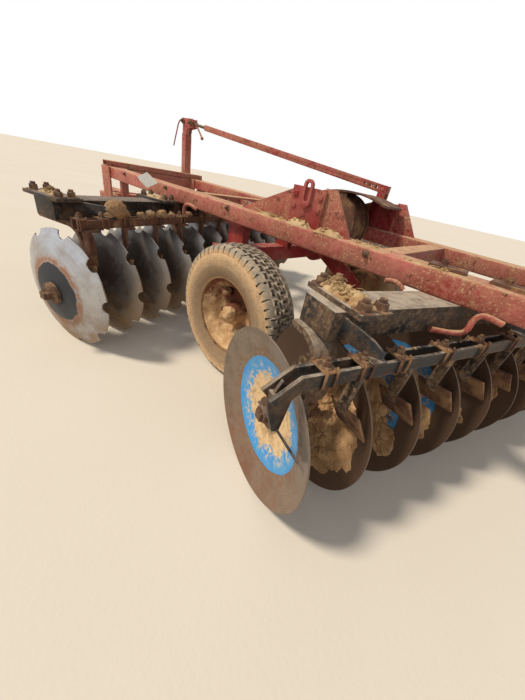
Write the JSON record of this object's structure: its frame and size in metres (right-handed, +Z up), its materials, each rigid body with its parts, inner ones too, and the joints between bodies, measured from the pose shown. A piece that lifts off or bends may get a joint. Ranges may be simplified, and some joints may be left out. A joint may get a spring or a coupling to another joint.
{
  "type": "trailed offset disc harrow",
  "caption": "Trailed offset disc harrow: notched front gang and plain rear gang set in a V under a rail frame, with cranked transport wheels and a hinged drawbar.",
  "frame": {"origin": "on the ground under the middle of the object's outline", "axes": "+X to the machine's right, +Y forward to the hitch, +Z up"},
  "size_m": [2.9285, 5.5478, 1.47],
  "materials": {
    "red_paint": "worn painted steel",
    "black_paint": "worn black painted steel",
    "earthy_steel": "rusty steel with dried earth",
    "polished_disc": "soil-polished steel",
    "brown_disc": "browned steel disc",
    "axle_steel": "rusty steel",
    "tyre_rubber": "dusty rubber",
    "rim_paint": "rim covered in dried earth",
    "rod_chrome": "chromed rod",
    "screw_steel": "greasy steel"
  },
  "bodies": {
    "frame": {"rail_left": "red_paint", "rail_right": "red_paint", "cross_front": "red_paint", "cross_fore": "red_paint", "cross_mid": "red_paint", "cross_rear": "red_paint", "beam_front": "black_paint", "beam_rear": "black_paint", "hangers_front": "earthy_steel", "hangers_rear": "earthy_steel", "scraper_bar_front": "black_paint", "scraper_bar_rear": "black_paint", "scrapers_front": "earthy_steel", "scrapers_rear": "earthy_steel", "bracket_left": "red_paint", "bracket_right": "red_paint", "guard_drum": "earthy_steel", "shaft_bearings": "red_paint", "hitch_ears": "red_paint"},
    "gang_front": {"axle_front": "axle_steel", "discs_front": "polished_disc"},
    "gang_rear": {"axle_rear": "axle_steel", "discs_rear": "brown_disc"},
    "crank": {"crank_shaft": "red_paint", "wheel_arms": "red_paint"},
    "wheel_left": {"tyre_left": "tyre_rubber", "rim_left": "rim_paint"},
    "wheel_right": {"tyre_right": "tyre_rubber", "rim_right": "rim_paint"},
    "lift_barrel": {"lift_barrel": "black_paint"},
    "lift_rod": {"lift_rod": "rod_chrome"},
    "drawbar": {"drawbar_arm_left": "red_paint", "drawbar_arm_right": "red_paint", "drawbar_cross": "red_paint", "drawbar_tongue": "red_paint", "mast": "red_paint"},
    "level_tube": {"level_tube": "red_paint"},
    "level_screw": {"level_screw": "screw_steel"}
  },
  "joints": [
    {"name": "front_gang_spin", "type": "hinge", "parent": "frame", "child": "gang_front", "pos_m": [-1.3246, -0.2401, 0.33], "axis": [0.9578, 0.2874, 0], "continuous": true},
    {"name": "rear_gang_spin", "type": "hinge", "parent": "frame", "child": "gang_rear", "pos_m": [-1.1196, -1.5911, 0.33], "axis": [0.9421, -0.3355, 0], "continuous": true},
    {"name": "crank_lift", "type": "hinge", "parent": "frame", "child": "crank", "pos_m": [0.1114, -0.5761, 0.59], "axis": [1, 0, 0], "range_deg": [-20, 22]},
    {"name": "wheel_left_spin", "type": "hinge", "parent": "crank", "child": "wheel_left", "pos_m": [-0.7011, -0.9761, 0.382], "axis": [1, 0, 0], "continuous": true},
    {"name": "wheel_right_spin", "type": "hinge", "parent": "crank", "child": "wheel_right", "pos_m": [0.9239, -0.9761, 0.382], "axis": [1, 0, 0], "continuous": true},
    {"name": "lift_pivot", "type": "hinge", "parent": "frame", "child": "lift_barrel", "pos_m": [0.1114, -0.0961, 0.834], "axis": [1, 0, 0], "range_deg": [-3, 4]},
    {"name": "lift_slide", "type": "slide", "parent": "lift_barrel", "child": "lift_rod", "axis": [0, -0.9823, -0.1872], "range_m": [-0.055, 0.06]},
    {"name": "drawbar_hinge", "type": "hinge", "parent": "frame", "child": "drawbar", "pos_m": [0.1114, 1.3539, 0.58], "axis": [1, 0, 0], "range_deg": [-6, 6]},
    {"name": "level_pivot", "type": "hinge", "parent": "frame", "child": "level_tube", "pos_m": [0.5939, -1.0261, 1.14], "axis": [1, 0, 0], "range_deg": [-1.5, 1.5]},
    {"name": "level_slide", "type": "slide", "parent": "level_tube", "child": "level_screw", "axis": [0, 0.9935, 0.1142], "range_m": [-0.09, 0.09]}
  ],
  "couplings": [
    {"joint": "lift_slide", "follows": "crank_lift", "m_per_rad": 0.1468},
    {"joint": "lift_pivot", "follows": "crank_lift", "ratio": -0.0145},
    {"joint": "level_slide", "follows": "drawbar_hinge", "m_per_rad": -0.8273},
    {"joint": "level_pivot", "follows": "drawbar_hinge", "ratio": 0.078}
  ]
}
